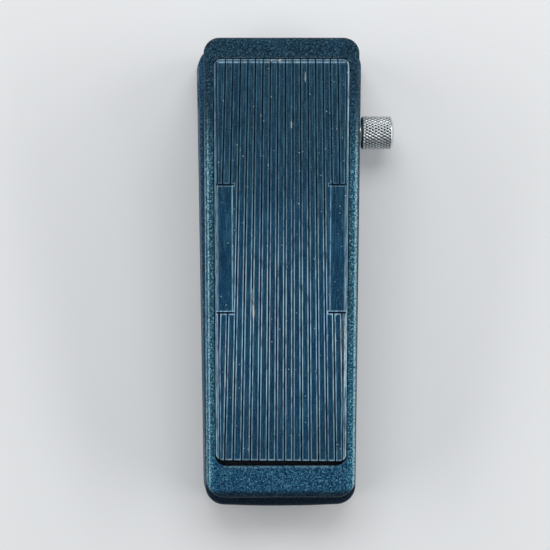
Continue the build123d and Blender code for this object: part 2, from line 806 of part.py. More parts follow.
# leaf spring that keeps the rack against the pinion
guide_thick = 0.6
guide_y = rack_pin_y + rack_back - 0.35 - guide_thick
with BuildPart() as rack_guide:
    with BuildSketch(along_x(-3.5)):
        with BuildLine():
            Polyline(
                (guide_y + guide_thick, pinion_z - 5),
                (guide_y + guide_thick, saddle_ceiling),
                (guide_y - 14, saddle_ceiling),
                (guide_y - 14, saddle_ceiling - guide_thick),
                (guide_y, saddle_ceiling - guide_thick),
                (guide_y, pinion_z - 5),
                close=True,
            )
        make_face()
    extrude(amount=7)
    with BuildSketch(level(saddle_ceiling - 2)):
        with Locations(guide_screw_spot):
            Circle(screw_r + 0.1)
    extrude(amount=3, mode=Mode.SUBTRACT)
save(rack_guide, "rack_guide")

with BuildPart() as guide_screw:
    pan_screws([guide_screw_spot], saddle_ceiling - guide_thick, 2.7, 1.4, guide_thick + 2.3, 0.7)
save(guide_screw, "guide_screw")

# ---------------------------------------------------------------- minimum-volume control and knob
minimum_seat = along_x(control_inner, knob_y, control_z)
knob_skirt_r = 6.8
knob_hollow = 4.6
knob_dome = 1.4
control_shaft_end = 59.0

with BuildPart() as minimum_pot:
    pot_body(minimum_seat, 6.4, pot_can_depth)
save(minimum_pot, "minimum_pot")

with BuildPart() as minimum_pot_tags:
    pot_tags(minimum_seat)
save(minimum_pot_tags, "minimum_pot_tags")

with BuildPart() as minimum_pot_washer:
    plain_washer(along_x(control_floor, knob_y, control_z), 0.5, 5.8, pot_bush_r + 0.1)
save(minimum_pot_washer, "minimum_pot_washer")

with BuildPart() as minimum_pot_nut:
    hex_nut(along_x(control_floor + 0.5, knob_y, control_z), 2.0, 10, pot_bush_r)
save(minimum_pot_nut, "minimum_pot_nut")

with BuildPart() as minimum_pot_shaft:
    with BuildSketch(along_x(control_inner - 2, knob_y, control_z)):
        Circle(pot_shaft_r)
    extrude(amount=control_shaft_end - control_inner + 2)
save(minimum_pot_shaft, "minimum_pot_shaft")

knob_r = knob_d / 2
knob_set_screw_x = 54.0
knob_hole = Plane(
    origin=(centre_x + knob_set_screw_x, knob_y, control_z),
    x_dir=(1, 0, 0),
    z_dir=(0, 0, -1),
)
knob_bevel = 0.9
dome_edge = knob_r - knob_bevel
dome_r = (dome_edge ** 2 + knob_dome ** 2) / (2 * knob_dome)
dome_half_x = knob_end - dome_r + (dome_r ** 2 - dome_edge ** 2 / 4) ** 0.5
with BuildPart() as knob:
    with BuildSketch(Plane(origin=(centre_x, knob_y, control_z), x_dir=(1, 0, 0), z_dir=(0, -1, 0))):
        with BuildLine():
            Line((knob_start, knob_skirt_r), (knob_start, knob_r - 0.4))
            Line((knob_start, knob_r - 0.4), (knob_start + 0.4, knob_r))
            Line((knob_start + 0.4, knob_r), (knob_end - knob_dome - knob_bevel, knob_r))
            Line((knob_end - knob_dome - knob_bevel, knob_r), (knob_end - knob_dome, dome_edge))
            ThreePointArc((knob_end - knob_dome, dome_edge), (dome_half_x, dome_edge / 2), (knob_end, 0))
            Line((knob_end, 0), (control_shaft_end + 0.4, 0))
            Line((control_shaft_end + 0.4, 0), (control_shaft_end + 0.4, pot_shaft_r))
            Line((control_shaft_end + 0.4, pot_shaft_r), (knob_start + knob_hollow, pot_shaft_r))
            Line((knob_start + knob_hollow, pot_shaft_r), (knob_start + knob_hollow, knob_skirt_r))
            Line((knob_start + knob_hollow, knob_skirt_r), (knob_start, knob_skirt_r))
        make_face()
    revolve(axis=Axis((centre_x, knob_y, control_z), (1, 0, 0)))
    with BuildSketch(knob_hole):
        Circle(1.5)
    extrude(amount=knob_r + 1, mode=Mode.SUBTRACT)
save(knob, "knob")

with BuildPart() as knob_set_screw:
    with BuildSketch(knob_hole.offset(pot_shaft_r)):
        Circle(1.5)
    extrude(amount=4.5)
    with BuildSketch(knob_hole.offset(pot_shaft_r + 3.5)):
        Rectangle(3, 0.6)
    extrude(amount=1, mode=Mode.SUBTRACT)
save(knob_set_screw, "knob_set_screw")

# ---------------------------------------------------------------- jacks
jack_bush_end = 44.2
jack_flange = 1.6
jack_frame_depth = 25.0
jack_half = 9.2


def jack_plane(side, x):
    """Plane on a jack's axis that faces out of the pedal; its own y runs up."""
    return Plane(
        origin=(centre_x + side * x, jack_y, control_z),
        x_dir=(0, side, 0),
        z_dir=(side, 0, 0),
    )


def jack_body(side):
    """Threaded bush, flange and the frame that carries the contacts."""
    with BuildSketch(jack_plane(side, jack_inner)) as flange:
        Rectangle(2 * jack_half - 2, 2 * jack_half - 1)
    extrude(flange.sketch, amount=-jack_flange)
    with BuildSketch(jack_plane(side, jack_inner)) as bush:
        Circle(jack_bush_r)
    extrude(bush.sketch, amount=jack_bush_end - jack_inner)
    with BuildSketch(jack_plane(side, jack_inner - jack_flange)) as frame_bar:
        with Locations((0, jack_half - 1.25)):
            Rectangle(9, 1.5)
    extrude(frame_bar.sketch, amount=-jack_frame_depth)
    with BuildSketch(jack_plane(side, jack_bush_end)) as bore:
        Circle(plug_bore_r)
    extrude(bore.sketch, amount=-jack_bush_end + jack_inner - jack_flange, mode=Mode.SUBTRACT)


def jack_insulators(side):
    """Insulating stack that clamps the tip spring under the frame's far end."""
    with BuildSketch(jack_plane(side, jack_inner - jack_flange - jack_frame_depth + 7)) as stack:
        with Locations((0, jack_half - 3.5)):
            Rectangle(8, 3)
    extrude(stack.sketch, amount=-7)


def jack_tip_spring(side):
    """Tip contact: a strip that runs back towards the bush and bends down to the plug's tip."""
    far = jack_inner - jack_flange - jack_frame_depth
    stack = jack_half - 5.0
    profile = Plane(
        origin=(centre_x, jack_y + side * 2.5, control_z),
        x_dir=(side, 0, 0),
        z_dir=(0, -side, 0),
    )
    with BuildSketch(profile) as strip:
        with BuildLine():
            Polyline(
                (far - 3, stack - 0.6),
                (far + 7.8, stack - 0.6),
                (far + 13.1, stack - 4.2),
                (far + 16.4, stack - 1.1),
                (far + 16, stack - 0.6),
                (far + 13, stack - 3.4),
                (far + 8, stack),
                (far - 3, stack),
                close=True,
            )
        make_face()
    extrude(strip.sketch, amount=5)


for side, end in ((1, "input"), (-1, "output")):
    with BuildPart() as jack:
        jack_body(side)
    save(jack, end + "_jack")
    with BuildPart() as insulators:
        jack_insulators(side)
    save(insulators, end + "_jack_insulator")
    with BuildPart() as tip_spring:
        jack_tip_spring(side)
    save(tip_spring, end + "_jack_tip_spring")

with BuildPart() as jack_washers:
    for side in (1, -1):
        plain_washer(jack_plane(side, jack_floor), 0.5, 7.4, jack_bush_r + 0.1)
save(jack_washers, "jack_washers")

with BuildPart() as jack_nuts:
    for side in (1, -1):
        hex_nut(jack_plane(side, jack_floor + 0.5), 2.0, 12.7, jack_bush_r)
save(jack_nuts, "jack_nuts")
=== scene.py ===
import json
import math

import bmesh
import bpy
import numpy as np
from mathutils import Euler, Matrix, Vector


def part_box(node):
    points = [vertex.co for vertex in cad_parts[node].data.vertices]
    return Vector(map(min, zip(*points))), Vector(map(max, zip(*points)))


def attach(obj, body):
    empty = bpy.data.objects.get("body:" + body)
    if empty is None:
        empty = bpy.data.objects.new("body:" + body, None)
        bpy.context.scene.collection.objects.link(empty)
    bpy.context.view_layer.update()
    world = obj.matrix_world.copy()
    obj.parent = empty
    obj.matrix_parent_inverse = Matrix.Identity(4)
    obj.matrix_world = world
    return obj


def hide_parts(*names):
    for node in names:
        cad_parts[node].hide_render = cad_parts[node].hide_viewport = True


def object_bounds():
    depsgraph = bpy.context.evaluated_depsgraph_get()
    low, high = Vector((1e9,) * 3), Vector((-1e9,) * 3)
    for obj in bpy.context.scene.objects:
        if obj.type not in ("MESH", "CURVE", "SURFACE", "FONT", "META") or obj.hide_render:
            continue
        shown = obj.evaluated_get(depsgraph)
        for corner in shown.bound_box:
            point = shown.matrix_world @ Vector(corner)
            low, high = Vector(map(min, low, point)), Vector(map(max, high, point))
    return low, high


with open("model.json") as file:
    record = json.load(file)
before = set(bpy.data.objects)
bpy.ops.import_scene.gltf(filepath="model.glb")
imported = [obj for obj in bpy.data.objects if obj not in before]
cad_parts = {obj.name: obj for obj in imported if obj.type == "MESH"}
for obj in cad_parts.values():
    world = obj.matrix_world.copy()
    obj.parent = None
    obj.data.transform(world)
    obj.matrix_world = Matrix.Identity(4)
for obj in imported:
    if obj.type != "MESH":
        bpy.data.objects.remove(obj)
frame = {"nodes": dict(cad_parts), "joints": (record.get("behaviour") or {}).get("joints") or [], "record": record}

MM = 0.001
scene = bpy.context.scene
cad_box = [[float(v) for v in corner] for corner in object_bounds()]
base_heel = cad_box[0][1] / MM
pivot = Vector(next(j["pos_m"] for j in frame["joints"] if j["name"] == "treadle_rock"))
REST_TILT = math.radians(9)

# the tread pad, in millimetres across, along and above the treadle's pivot
PAD_HALF = 34.9
PAD_TOE = 112.0
PAD_HEEL = -101.3
PAD_LOW = 9.5
PAD_HIGH = 12.5
PAD_CORNER = 3.6
PAD_ROUND = 0.7                    # radius of its upper edge
PAD_SHEAR = 0.012                  # lean of its heel end across the treadle
GROOVE_DEPTH = 1.1
GROOVES = range(-9, 7)
PANEL_ENDS = (47.2, -20.5)
PANEL_INNER = 25.6
PANEL_OUTER = 33.6
FAR = 99.0                         # stands for no groove near

# worn strokes on the pad: from x, s to x, s, then width and strength
SCUFFS = (
    (-15.3, -8.0, -15.1, -19.5, 0.34, 0.75),
    (-14.8, -17.0, -14.7, -22.5, 0.5, 1.0),
    (33.6, -24.0, 33.9, -60.0, 0.7, 0.55),
    (32.9, -30.0, 33.2, -48.0, 0.9, 0.35),
    (12.2, 104.5, 12.1, 100.2, 0.22, 0.75),
    (-5.8, 111.2, -3.6, 111.2, 0.34, 0.9),
    (-1.9, 111.3, -0.4, 111.3, 0.4, 0.9),
    (5.0, 80.0, 5.1, 77.0, 0.26, 0.8),
    (-29.6, -54.0, -29.4, -60.0, 0.35, 0.5),
)

# painted highlight lines along the treadle's rims, as distances out from its centre line
RIM_HIGHLIGHT = (38.0, 38.7, 39.2, 39.7)
LEFT_INNER_HIGHLIGHT = (37.7, 37.95, 38.45, 38.7)
LEFT_OUTER_HIGHLIGHT = (39.4, 39.7, 40.9, 41.2)

# the knob, in millimetres
KNURLS_ROUND = 32
KNURL_DEPTH = 0.46
KNURL_SLOPE = 0.56
STEPS_ROUND = KNURLS_ROUND * 8
SKIN = 0.02                        # how far it lies inside the plain knob
KNOB_DOME = 1.0
KNOB_BEVEL = 1.25
BORE_RADIUS = 3.4
BORE_DEPTH = 12.0


# ---------------------------------------------------------------- camera
camera_data = bpy.data.cameras.new("camera")
camera_data.sensor_width = 36
camera_data.lens = 103.93
camera_data.clip_end = 20
camera = bpy.data.objects.new("camera", camera_data)
camera.location = Vector((-24.855, 12.911, 896.10)) * MM
camera.rotation_euler = Euler((-0.0140, -0.0158, -0.0017), "XYZ")
scene.collection.objects.link(camera)
scene.camera = camera


# ---------------------------------------------------------------- node helpers
def new_material(name):
    """A material, its node tree and its Principled shader."""
    mat = bpy.data.materials.new(name)
    mat.use_nodes = True
    return mat, mat.node_tree, mat.node_tree.nodes["Principled BSDF"]


def put(tree, socket, value):
    """Link a socket to another, or set it to a plain value."""
    if isinstance(value, bpy.types.NodeSocket):
        tree.links.new(value, socket)
    else:
        socket.default_value = value


def place(tree, stretch=(1, 1, 1)):
    """Object coordinates in millimetres, stretched."""
    coords = tree.nodes.new("ShaderNodeTexCoord")
    mapping = tree.nodes.new("ShaderNodeMapping")
    mapping.inputs["Scale"].default_value = [1000 * s for s in stretch]
    tree.links.new(coords.outputs["Object"], mapping.inputs["Vector"])
    return mapping.outputs["Vector"]


def treadle_place(tree):
    """Millimetres across, along and above the treadle's pivot, for a node that rides on the treadle."""
    coords = tree.nodes.new("ShaderNodeTexCoord")
    mapping = tree.nodes.new("ShaderNodeMapping")
    mapping.vector_type = "TEXTURE"
    mapping.inputs["Location"].default_value = pivot
    mapping.inputs["Rotation"].default_value = (REST_TILT, 0, 0)
    mapping.inputs["Scale"].default_value = (MM, MM, MM)
    tree.links.new(coords.outputs["Object"], mapping.inputs["Vector"])
    return mapping.outputs["Vector"]


def axes(tree, vector):
    """The three parts of a place."""
    n = tree.nodes.new("ShaderNodeSeparateXYZ")
    tree.links.new(vector, n.inputs[0])
    return n.outputs[0], n.outputs[1], n.outputs[2]


def noise(tree, vector, size, detail=2.0, roughness=0.5):
    """Noise whose blotches are about size millimetres wide."""
    n = tree.nodes.new("ShaderNodeTexNoise")
    tree.links.new(vector, n.inputs["Vector"])
    n.inputs["Scale"].default_value = 1 / size
    n.inputs["Detail"].default_value = detail
    n.inputs["Roughness"].default_value = roughness
    return n.outputs["Fac"]


def spots(tree, vector, size):
    """Distance to the nearest of scattered points about size millimetres apart."""
    n = tree.nodes.new("ShaderNodeTexVoronoi")
    tree.links.new(vector, n.inputs["Vector"])
    n.inputs["Scale"].default_value = 1 / size
    return n.outputs["Distance"]


def attribute(tree, name):
    """A value stored on the mesh."""
    n = tree.nodes.new("ShaderNodeAttribute")
    n.attribute_name = name
    return n.outputs["Fac"]


def calc(tree, operation, a, b):
    """A sum, product or other result of two values."""
    n = tree.nodes.new("ShaderNodeMath")
    n.operation = operation
    put(tree, n.inputs[0], a)
    put(tree, n.inputs[1], b)
    return n.outputs[0]


def product(tree, first, *others):
    """All the values multiplied together."""
    for other in others:
        first = calc(tree, "MULTIPLY", first, other)
    return first


def fade(tree, value, low, high, start=0.0, end=1.0):
    """start below low, end above high, and smooth between them."""
    n = tree.nodes.new("ShaderNodeMapRange")
    n.interpolation_type = "SMOOTHSTEP"
    put(tree, n.inputs["Value"], value)
    n.inputs["From Min"].default_value = low
    n.inputs["From Max"].default_value = high
    n.inputs["To Min"].default_value = start
    n.inputs["To Max"].default_value = end
    return n.outputs["Result"]


def band(tree, value, low, full, still_full, high):
    """1 from full to still_full, 0 below low and above high."""
    return product(tree, fade(tree, value, low, full), fade(tree, value, high, still_full))


def blend(tree, amount, a, b):
    """A mix of two colours, all b where the amount is 1."""
    n = tree.nodes.new("ShaderNodeMix")
    n.data_type = "RGBA"
    put(tree, n.inputs[0], amount)
    put(tree, n.inputs[6], a)
    put(tree, n.inputs[7], b)
    return n.outputs[2]


def over(tree, body, top, *amounts):
    """The body colour with another laid over it, as strongly as the product of the amounts."""
    return blend(tree, product(tree, *amounts), body, top)


def bump(tree, height, depth, below=None):
    """A bump whose full height is depth millimetres."""
    n = tree.nodes.new("ShaderNodeBump")
    n.inputs["Distance"].default_value = depth * MM
    put(tree, n.inputs["Height"], height)
    if below is not None:
        tree.links.new(below, n.inputs["Normal"])
    return n.outputs["Normal"]


def edge_wear(tree, radius):
    """1 at sharp edges, 0 on flat faces."""
    rounded = tree.nodes.new("ShaderNodeBevel")
    rounded.samples = 4
    rounded.inputs["Radius"].default_value = radius * MM
    plain = tree.nodes.new("ShaderNodeNewGeometry")
    dot = tree.nodes.new("ShaderNodeVectorMath")
    dot.operation = "DOT_PRODUCT"
    tree.links.new(rounded.outputs[0], dot.inputs[0])
    tree.links.new(plain.outputs["Normal"], dot.inputs[1])
    return fade(tree, calc(tree, "SUBTRACT", 1.0, dot.outputs["Value"]), 0.02, 0.2)


def linear(v):
    """One sRGB channel, 0 to 255, as linear light."""
    v = v / 255
    return v / 12.92 if v <= 0.04045 else ((v + 0.055) / 1.055) ** 2.4


def colour(r, g, b):
    """An sRGB colour, 0 to 255, as the linear colour a shader takes."""
    return (linear(r), linear(g), linear(b), 1.0)


def finish_shader(tree, shader, body, roughness, normal):
    """Link a finished colour, roughness and bump to the shader."""
    tree.links.new(body, shader.inputs["Base Color"])
    tree.links.new(roughness, shader.inputs["Roughness"])
    tree.links.new(normal, shader.inputs["Normal"])


# ---------------------------------------------------------------- paint
def rim_wear_and_sheen_mask(tree, out, along, height):
    """1 on top of the treadle's side rims, where shoes rub them and where their rounding catches the side light,
    and less towards the toe.
    """
    return product(
        tree,
        fade(tree, out, PAD_HALF - 0.4, PAD_HALF + 1.6),
        fade(tree, along, 95, 45),
        fade(tree, height, PAD_LOW - 2.0, PAD_LOW),
    )


def rim_highlights(tree, at, across, out):
    """Broken painted highlight lines along the rims, where their rounded edges catch the side light: one on the
    right, two on the left.
    """
    left = fade(tree, across, 1, -1)
    right = calc(tree, "SUBTRACT", 1.0, left)
    one = band(tree, out, *RIM_HIGHLIGHT)
    two = calc(tree, "MAXIMUM", band(tree, out, *LEFT_INNER_HIGHLIGHT), band(tree, out, *LEFT_OUTER_HIGHLIGHT))
    lines = calc(tree, "MAXIMUM", product(tree, one, right), product(tree, two, left))
    return product(tree, lines, fade(tree, noise(tree, at, 0.9, 3.0, 0.65), 0.36, 0.60))


def recess_lip(tree, at, out, along):
    """Worn patches on the edge of the recess behind the pad's heel end."""
    edge = band(tree, along, PAD_HEEL - 4.5, PAD_HEEL - 3.7, PAD_HEEL - 3.15, PAD_HEEL - 3.0)
    return product(tree, edge, fade(tree, out, 32, 30), fade(tree, noise(tree, at, 1.6, 2.0), 0.35, 0.6))


def hammered_paint(name, on_top=False):
    """Baked hammered enamel: small raised swirls, dark between them, painted glints on the swirls, worn edges, and
    painted shade towards the heel end.

    On top, on the treadle, the rims are worn by shoes and carry a painted sheen and painted highlight lines, and
    the pad's recess is painted dark as shade.
    """
    mat, tree, shader = new_material(name)
    at = place(tree)
    swirl = noise(tree, at, 1.0, 3.0, 0.6)
    grain = noise(tree, at, 0.55, 2.0, 0.6)
    patches = noise(tree, at, 16, 3.0)
    across, along, height = axes(tree, treadle_place(tree) if on_top else at)
    if on_top:
        out = calc(tree, "ABSOLUTE", across, 0.0)
        rim_wear_and_sheen = rim_wear_and_sheen_mask(tree, out, along, height)
        # the heel end beyond the pad carries more painted glints
        heel_glints = product(tree, fade(tree, along, PAD_HEEL - 2.0, PAD_HEEL - 4.0), 0.62)
        glint_power = calc(tree, "MAXIMUM", fade(tree, rim_wear_and_sheen, 0.0, 1.0, 0.24, 1.0), heel_glints)
        heel_shade_start = PAD_HEEL - 15.8
        body = blend(tree, fade(tree, patches, 0.35, 0.65), colour(6, 43, 63), colour(13, 52, 74))
        body = over(tree, body, colour(6, 66, 100), fade(tree, along, 20, -100))
    else:
        glint_power = 0.36
        heel_shade_start = base_heel + 14.0
        body = blend(tree, fade(tree, patches, 0.35, 0.65), colour(4, 50, 78), colour(10, 60, 92))
    body = over(tree, body, colour(3, 20, 36), fade(tree, swirl, 0.47, 0.34))
    if on_top:
        # a lighter tint on the rims: partly worn paint, partly a painted sheen where their rounding catches the
        # side light
        body = over(tree, body, colour(30, 104, 128), rim_wear_and_sheen, 0.35)
    # painted glints: pale specks on the swirl peaks stand for light glinting off the hammered bumps, stronger on
    # the rims
    glints = product(tree, fade(tree, swirl, 0.48, 0.60), fade(tree, grain, 0.46, 0.58))
    body = over(tree, body, colour(124, 188, 208), glints, glint_power)
    uneven = fade(tree, noise(tree, at, 2.4, 3.0, 0.6), 0.40, 0.62)
    body = over(tree, body, colour(150, 170, 176), edge_wear(tree, 0.7), uneven, 0.65)
    if on_top:
        # painted highlights along the rim edges
        body = over(tree, body, colour(176, 212, 222), rim_highlights(tree, at, across, out), rim_wear_and_sheen, 0.8)
        body = over(tree, body, colour(120, 160, 176), recess_lip(tree, at, out, along), 0.45)
        # painted shade: the floor of the pad's recess, seen in the slot behind the pad's heel, is painted near
        # black
        recess_shade = band(tree, height, PAD_LOW - 0.3, PAD_LOW - 0.1, PAD_LOW + 0.3, PAD_LOW + 0.8)
        body = over(tree, body, colour(3, 9, 16), recess_shade)
    # painted shade: darker towards the heel end, whose faces turn away from the lamps
    heel_shade = fade(tree, along, heel_shade_start, heel_shade_start - 2.6)
    body = over(tree, body, colour(0, 12, 26), heel_shade, 0.80)
    roughness = fade(tree, patches, 0.3, 0.7, 0.34, 0.46)
    finish_shader(tree, shader, body, roughness, bump(tree, grain, 0.25, bump(tree, swirl, 0.8)))
    shader.inputs["Specular IOR Level"].default_value = 0.12
    return mat


# ---------------------------------------------------------------- other materials
def ribbed_rubber():
    """Moulded rubber, streaked along the ribs, with painted shade in its grooves, pale lines that are partly wear
    and partly painted highlights, scuffs and dust.
    """
    mat, tree, shader = new_material("tread_rubber")
    at = place(tree)
    along = place(tree, (1.0, 0.045, 0.045))
    streaks = noise(tree, along, 0.55, 3.0, 0.6)
    grain = noise(tree, at, 0.5, 2.0, 0.6)
    patches = noise(tree, at, 22, 3.0)
    body = blend(tree, fade(tree, patches, 0.35, 0.65), colour(2, 43, 71), colour(5, 53, 82))
    towards_toe = fade(tree, axes(tree, at)[1], 10, 90)
    body = over(tree, body, colour(8, 42, 58), towards_toe, 0.7)
    body = over(tree, body, colour(52, 98, 118), fade(tree, streaks, 0.48, 0.66), 0.5)
    body = over(tree, body, colour(76, 120, 140), fade(tree, grain, 0.52, 0.68), 0.4)
    # painted shade in the grooves and on the pad's sides, from the groove values
    body = over(tree, body, colour(3, 12, 24), attribute(tree, "groove"))

    uneven = noise(tree, place(tree, (1.0, 0.12, 0.12)), 0.9, 3.0, 0.65)
    bluish = fade(tree, noise(tree, along, 3.0, 1.0), 0.42, 0.58)
    line_colour = blend(tree, bluish, colour(164, 202, 234), colour(180, 222, 240))
    # pale lines, partly worn rubber and partly painted highlights on rounded edges
    body = over(tree, body, line_colour, attribute(tree, "wear"), fade(tree, uneven, 0.33, 0.58, 0.25, 1.0))

    dusty = fade(tree, noise(tree, at, 4.0, 2.0), 0.54, 0.62)
    dust = product(tree, fade(tree, spots(tree, at, 2.0), 0.15, 0.07), dusty)
    broken = fade(tree, noise(tree, place(tree, (1, 0.35, 0.35)), 0.8, 3.0, 0.6), 0.34, 0.56)
    scuffed = product(tree, attribute(tree, "scuff"), broken)
    body = over(tree, body, colour(205, 214, 212), calc(tree, "MAXIMUM", scuffed, dust))
    roughness = fade(tree, streaks, 0.3, 0.7, 0.50, 0.64)
    finish_shader(tree, shader, body, roughness, bump(tree, grain, 0.07, bump(tree, streaks, 0.08)))
    shader.inputs["Specular IOR Level"].default_value = 0.11
    return mat


def plated(name, light, dark, rough, brushed=(1, 1, 1), wear=0.0, dirt_and_shade=False):
    """A metal with fine brushed lines and cloudy tarnish, and bright edges where asked, or pits darkened by
    soiling and painted shade where asked.
    """
    mat, tree, shader = new_material(name)
    lines = noise(tree, place(tree, brushed), 0.8, 3.0, 0.6)
    cloud = noise(tree, place(tree), 6.0, 4.0, 0.55)
    body = blend(tree, fade(tree, cloud, 0.35, 0.68), dark, light)
    if wear:
        body = over(tree, body, colour(236, 234, 226), edge_wear(tree, wear), 0.6)
    if dirt_and_shade:
        # knurl pits darkened: partly soiling, partly painted shade
        body = over(tree, body, colour(16, 20, 24), fade(tree, attribute(tree, "groove"), 0.12, 0.62))
    shader.inputs["Metallic"].default_value = 1.0
    roughness = fade(tree, lines, 0.3, 0.7, rough - 0.07, rough + 0.09)
    finish_shader(tree, shader, body, roughness, bump(tree, lines, 0.02))
    return mat


def moulded(name, light, dark, rough):
    """A plastic or rubber moulding with a fine matt grain and slight marks."""
    mat, tree, shader = new_material(name)
    at = place(tree)
    grain = noise(tree, at, 0.6, 3.0, 0.6)
    cloud = noise(tree, at, 7.0, 3.0, 0.5)
    body = blend(tree, fade(tree, cloud, 0.35, 0.65), dark, light)
    body = over(tree, body, light, fade(tree, grain, 0.55, 0.75), 0.25)
    roughness = fade(tree, cloud, 0.3, 0.7, rough - 0.06, rough + 0.08)
    finish_shader(tree, shader, body, roughness, bump(tree, grain, 0.05))
    return mat


def layered_board(name):
    """Phenolic paper board: thin brown layers with pale fibres."""
    mat, tree, shader = new_material(name)
    layers = noise(tree, place(tree, (6, 1, 1)), 0.5, 3.0, 0.6)
    fibres = noise(tree, place(tree, (1, 0.15, 1)), 0.35, 2.0, 0.7)
    body = blend(tree, fade(tree, layers, 0.35, 0.65), colour(96, 52, 26), colour(138, 84, 46))
    body = over(tree, body, colour(176, 128, 84), fade(tree, fibres, 0.6, 0.75), 0.4)
    roughness = fade(tree, noise(tree, place(tree), 4.0), 0.3, 0.7, 0.34, 0.48)
    finish_shader(tree, shader, body, roughness, bump(tree, fibres, 0.03))
    return mat


ALONG_X = (0.1, 1, 1)              # brushed along the pedal's width
TREADLE_PAINT = hammered_paint("treadle_paint", on_top=True)
FINISH = {
    "cast_paint": hammered_paint("cast_paint"),
    "tread_rubber": ribbed_rubber(),
    "plate_steel": plated(
        "plate_steel", colour(176, 178, 180), colour(140, 143, 147), 0.36, brushed=(0.06, 1, 1), wear=0.4
    ),
    "foot_rubber": moulded("foot_rubber", colour(48, 48, 50), colour(28, 28, 30), 0.72),
    "steel": plated("steel", colour(196, 197, 198), colour(160, 162, 165), 0.26, brushed=ALONG_X),
    "screw_steel": plated("screw_steel", colour(186, 186, 182), colour(140, 141, 140), 0.32, wear=0.25),
    "nickel": plated("nickel", colour(206, 202, 192), colour(170, 166, 156), 0.24, wear=0.25),
    "nylon": moulded("nylon", colour(222, 218, 204), colour(206, 200, 182), 0.44),
    "acetal": moulded("acetal", colour(232, 230, 224), colour(216, 213, 204), 0.38),
    "phenolic": layered_board("phenolic"),
    "brass": plated("brass", colour(204, 172, 104), colour(164, 130, 72), 0.28, brushed=ALONG_X, wear=0.2),
    "knob_nickel": plated("knob_nickel", colour(220, 226, 228), colour(196, 202, 204), 0.30, dirt_and_shade=True),
}


# ---------------------------------------------------------------- CAD nodes keep their shape
slot_of = {row["node"]: row["material_slot"] for row in frame["record"]["subparts"]}
for name, obj in frame["nodes"].items():
    obj.data.materials.clear()
    obj.data.materials.append(TREADLE_PAINT if name == "treadle" else FINISH[slot_of[name]])


# ---------------------------------------------------------------- mesh helpers
def mesh_piece(name, vertices, faces, slot, body, node):
    """A smooth piece from vertices in metres in the shared frame, riding on a body in place of a node."""
    mesh = bpy.data.meshes.new(name)
    mesh.from_pydata([tuple(v) for v in vertices], [], faces)
    mesh.validate()
    mesh.update()
    mesh.materials.append(FINISH[slot])
    mesh.polygons.foreach_set("use_smooth", [True] * len(mesh.polygons))
    obj = bpy.data.objects.new(name, mesh)
    scene.collection.objects.link(obj)
    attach(obj, body)
    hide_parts(node)
    return obj


def set_attribute(obj, name, values):
    """Store one value per vertex."""
    layer = obj.data.attributes.new(name, "FLOAT", "POINT")
    layer.data.foreach_set("value", np.asarray(values, np.float32).ravel())


def smoothstep(low, high, v):
    """0 at low, 1 at high, and smooth between them."""
    t = np.clip((v - low) / (high - low), 0, 1)
    return t * t * (3 - 2 * t)


def hump(distance, width):
    """1 at no distance, falling away smoothly over the width."""
    return np.exp(-((distance / width) ** 2))


def on_treadle(x, s, h):
    """Place in metres of a point x across, s along and h above the pivot, in millimetres."""
    c, k = math.cos(REST_TILT), math.sin(REST_TILT)
    return np.stack(
        [
            pivot.x + x * MM,
            pivot.y + (s * c - h * k) * MM,
            pivot.z + (s * k + h * c) * MM,
        ],
        axis=-1,
    )


# ---------------------------------------------------------------- ribbed tread pad
def groove_line(number, s):
    """x of a groove at a station along the pad; the grooves fan out towards the heel."""
    share = (PAD_TOE - s) / (PAD_TOE - PAD_HEEL)
    return 5.8 + 0.55 * share + number * (3.84 + 0.73 * share)


def border_line(s):
    """Distance of the two side grooves from the middle at a station along the pad."""
    return 33.45 - 0.65 * (PAD_TOE - s) / (PAD_TOE - PAD_HEEL)


def pad_columns():
    """Stations across the pad, closest together at its two rounded edges."""
    edge = [0.0, 0.06, 0.16, 0.3, 0.48, 0.7]
    left = [-PAD_HALF + d for d in edge]
    middle = np.linspace(-PAD_HALF + 0.85, PAD_HALF - 0.85, 560)
    return np.array(left + list(middle) + [-x for x in reversed(left)])


def pad_rows():
    """Stations along the pad, closest together at its ends and at the panels' ends."""
    edge = [0.0, 0.06, 0.16, 0.3, 0.48, 0.7, 0.95, 1.3, 1.7, 2.2, 2.8, 3.5, 4.2]
    rows = [PAD_HEEL + d for d in edge] + [PAD_TOE - d for d in edge]
    rows += list(np.linspace(PAD_HEEL + 5, PAD_TOE - 5, 170))
    for end in PANEL_ENDS:
        rows += list(np.linspace(end - 1.5, end + 1.5, 21))
    return np.unique(np.round(rows, 3))


def pad_grid():
    """The pad's grid, drawn in round its corners.

    Gives x, s, the distance in from the outline and the distance from the nearer end.
    """
    x, s = np.meshgrid(pad_columns(), pad_rows())
    from_end = np.minimum(s - PAD_HEEL, PAD_TOE - s)
    short = np.clip(PAD_CORNER - from_end, 0, PAD_CORNER)
    half = PAD_HALF - PAD_CORNER + np.sqrt(PAD_CORNER**2 - short**2)
    inner = PAD_HALF - PAD_CORNER - 2.4
    drawn = inner + (np.abs(x) - inner) * (half - inner) / (PAD_HALF - inner)
    x = np.where(np.abs(x) > inner, np.sign(x) * drawn, x)
    past_side = np.abs(x) - (PAD_HALF - PAD_CORNER)
    past_end = np.maximum(PAD_HEEL + PAD_CORNER - s, s - (PAD_TOE - PAD_CORNER))
    in_corner = (past_side > 0) & (past_end > 0)
    from_edge = np.minimum(PAD_HALF - np.abs(x), from_end)
    depth_in = np.where(in_corner, PAD_CORNER - np.hypot(past_side, past_end), from_edge)
    return x, s, np.maximum(depth_in, 0), from_end


def beside_panels(s):
    """True between the two ends of the side panels."""
    return (s < PANEL_ENDS[0]) & (s > PANEL_ENDS[1])


